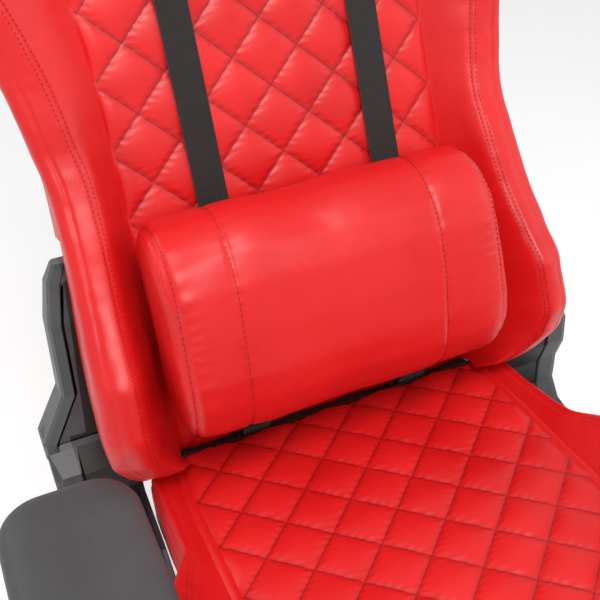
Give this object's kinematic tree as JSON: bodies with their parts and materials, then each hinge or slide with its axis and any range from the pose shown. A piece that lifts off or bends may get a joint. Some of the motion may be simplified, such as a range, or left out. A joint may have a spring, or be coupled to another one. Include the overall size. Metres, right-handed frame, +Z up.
{
  "type": "gaming chair",
  "caption": "Reclining racing-style gaming chair with quilted back and seat, lumbar pillow on straps, armrests and a wheeled star base.",
  "frame": {"origin": "on the floor below the middle of the chair's box", "axes": "+Z up, -Y towards the sitter's front, +X towards the sitter's left"},
  "size_m": [0.6942, 0.9644, 1.2816],
  "materials": {
    "leather": "smooth synthetic leather over foam",
    "nylon": "fine grained black nylon",
    "cover_plastic": "dark grey moulded plastic",
    "wheel_plastic": "black polyurethane",
    "arm_foam": "soft dark grey polyurethane",
    "steel": "black powder coat",
    "bright_steel": "ground steel",
    "webbing": "black woven strap",
    "board": "dark stained plywood"
  },
  "bodies": {
    "base": {"star_base": "nylon", "column_tube": "steel", "column_bush": "nylon", "thrust_bearing": "bright_steel", "cover_lower": "nylon"},
    "castor_1": {"castor_1_stem": "bright_steel", "castor_1_hood": "nylon"},
    "wheels_1": {"castor_1_wheels": "wheel_plastic"},
    "castor_2": {"castor_2_stem": "bright_steel", "castor_2_hood": "nylon"},
    "wheels_2": {"castor_2_wheels": "wheel_plastic"},
    "castor_3": {"castor_3_stem": "bright_steel", "castor_3_hood": "nylon"},
    "wheels_3": {"castor_3_wheels": "wheel_plastic"},
    "castor_4": {"castor_4_stem": "bright_steel", "castor_4_hood": "nylon"},
    "wheels_4": {"castor_4_wheels": "wheel_plastic"},
    "castor_5": {"castor_5_stem": "bright_steel", "castor_5_hood": "nylon"},
    "wheels_5": {"castor_5_wheels": "wheel_plastic"},
    "spindle": {"piston_rod": "bright_steel"},
    "dust_sleeve": {"cover_middle": "nylon"},
    "lift": {"gas_cylinder": "steel", "cover_upper": "nylon", "mechanism_housing": "steel", "tilt_spring": "bright_steel"},
    "valve": {"release_button": "nylon"},
    "lever": {"height_lever": "steel"},
    "knob": {"tension_knob": "nylon"},
    "seat": {"seat_plate": "steel", "tilt_shaft": "bright_steel", "seat_board": "board", "seat_cushion": "leather", "seat_frame": "steel", "recliner_seat_plate_left": "steel", "seat_cover_left": "cover_plastic", "arm_bracket_left": "steel", "arm_sleeve_left": "nylon", "recliner_seat_plate_right": "steel", "seat_cover_right": "cover_plastic", "arm_bracket_right": "steel", "arm_sleeve_right": "nylon"},
    "back": {"back_frame": "steel", "back_pad": "leather", "back_shell": "leather", "strap_left": "webbing", "strap_right": "webbing", "recliner_rod": "bright_steel", "recliner_back_plate_left": "steel", "back_cover_left": "cover_plastic", "recliner_back_plate_right": "steel", "back_cover_right": "cover_plastic"},
    "pillow": {"lumbar_pillow": "leather"},
    "recline_handle": {"recline_lever": "nylon"},
    "arm_left": {"arm_upright_left": "nylon", "arm_pad_left": "arm_foam"},
    "arm_catch_left": {"arm_button_left": "cover_plastic"},
    "arm_right": {"arm_upright_right": "nylon", "arm_pad_right": "arm_foam"},
    "arm_catch_right": {"arm_button_right": "cover_plastic"}
  },
  "joints": [
    {"name": "castor_1_swivel", "type": "hinge", "parent": "base", "child": "castor_1", "pos_m": [0, -0.425, 0.08], "axis": [0, 0, 1], "continuous": true},
    {"name": "castor_1_roll", "type": "hinge", "parent": "castor_1", "child": "wheels_1", "pos_m": [0, -0.447, 0.03], "axis": [1, 0, 0], "continuous": true},
    {"name": "castor_2_swivel", "type": "hinge", "parent": "base", "child": "castor_2", "pos_m": [0.28532, -0.21771, 0.08], "axis": [0, 0, 1], "continuous": true},
    {"name": "castor_2_roll", "type": "hinge", "parent": "castor_2", "child": "wheels_2", "pos_m": [0.30624, -0.2245, 0.03], "axis": [0.309, 0.9511, 0], "continuous": true},
    {"name": "castor_3_swivel", "type": "hinge", "parent": "base", "child": "castor_3", "pos_m": [0.17634, 0.11771, 0.08], "axis": [0, 0, 1], "continuous": true},
    {"name": "castor_3_roll", "type": "hinge", "parent": "castor_3", "child": "wheels_3", "pos_m": [0.18927, 0.1355, 0.03], "axis": [-0.809, 0.5878, 0], "continuous": true},
    {"name": "castor_4_swivel", "type": "hinge", "parent": "base", "child": "castor_4", "pos_m": [-0.17634, 0.11771, 0.08], "axis": [0, 0, 1], "continuous": true},
    {"name": "castor_4_roll", "type": "hinge", "parent": "castor_4", "child": "wheels_4", "pos_m": [-0.18927, 0.1355, 0.03], "axis": [-0.809, -0.5878, 0], "continuous": true},
    {"name": "castor_5_swivel", "type": "hinge", "parent": "base", "child": "castor_5", "pos_m": [-0.28532, -0.21771, 0.08], "axis": [0, 0, 1], "continuous": true},
    {"name": "castor_5_roll", "type": "hinge", "parent": "castor_5", "child": "wheels_5", "pos_m": [-0.30624, -0.2245, 0.03], "axis": [0.309, -0.9511, 0], "continuous": true},
    {"name": "seat_swivel", "type": "hinge", "parent": "base", "child": "spindle", "pos_m": [0, -0.125, 0.3], "axis": [0, 0, 1], "continuous": true},
    {"name": "height_slide", "type": "slide", "parent": "spindle", "child": "lift", "axis": [0, 0, 1], "range_m": [0, 0.08]},
    {"name": "cover_slide", "type": "slide", "parent": "base", "child": "dust_sleeve", "axis": [0, 0, 1], "range_m": [0, 0.04]},
    {"name": "valve_press", "type": "slide", "parent": "lift", "child": "valve", "axis": [0, 0, -1], "range_m": [0, 0.004]},
    {"name": "height_lever_lift", "type": "hinge", "parent": "lift", "child": "lever", "pos_m": [-0.05, -0.125, 0.361], "axis": [0, 1, 0], "range_deg": [0, 4.5], "stiffness_Nm_per_rad": 8, "springref_deg": -8.59},
    {"name": "tension_knob_turn", "type": "hinge", "parent": "lift", "child": "knob", "pos_m": [0, -0.225, 0.277], "axis": [0, 0, 1], "continuous": true},
    {"name": "seat_tilt", "type": "hinge", "parent": "lift", "child": "seat", "pos_m": [0, -0.185, 0.376], "axis": [-1, 0, 0], "range_deg": [0, 12], "stiffness_Nm_per_rad": 260, "springref_deg": -28.65},
    {"name": "back_recline", "type": "hinge", "parent": "seat", "child": "back", "pos_m": [0, 0.1477, 0.48216], "axis": [-1, 0, 0], "range_deg": [0, 50]},
    {"name": "recline_lever_lift", "type": "hinge", "parent": "seat", "child": "recline_handle", "pos_m": [-0.289, 0.095, 0.404], "axis": [-1, 0, 0], "range_deg": [0, 25], "stiffness_Nm_per_rad": 3, "springref_deg": -17.19},
    {"name": "pillow_slide", "type": "slide", "parent": "back", "child": "pillow", "axis": [0, 0.3535, 0.9354], "range_m": [-0.01, 0.15]},
    {"name": "arm_height_left", "type": "slide", "parent": "seat", "child": "arm_left", "axis": [0, 0, 1], "range_m": [0, 0.07]},
    {"name": "arm_button_left_press", "type": "slide", "parent": "seat", "child": "arm_catch_left", "axis": [-1, 0, 0], "range_m": [0, 0.002], "stiffness_N_per_m": 1500, "springref_m": -0.001},
    {"name": "arm_height_right", "type": "slide", "parent": "seat", "child": "arm_right", "axis": [0, 0, 1], "range_m": [0, 0.07]},
    {"name": "arm_button_right_press", "type": "slide", "parent": "seat", "child": "arm_catch_right", "axis": [1, 0, 0], "range_m": [0, 0.002], "stiffness_N_per_m": 1500, "springref_m": -0.001}
  ],
  "couplings": [
    {"joint": "cover_slide", "follows": "height_slide", "ratio": 0.5},
    {"joint": "valve_press", "follows": "height_lever_lift", "m_per_rad": 0.042}
  ]
}
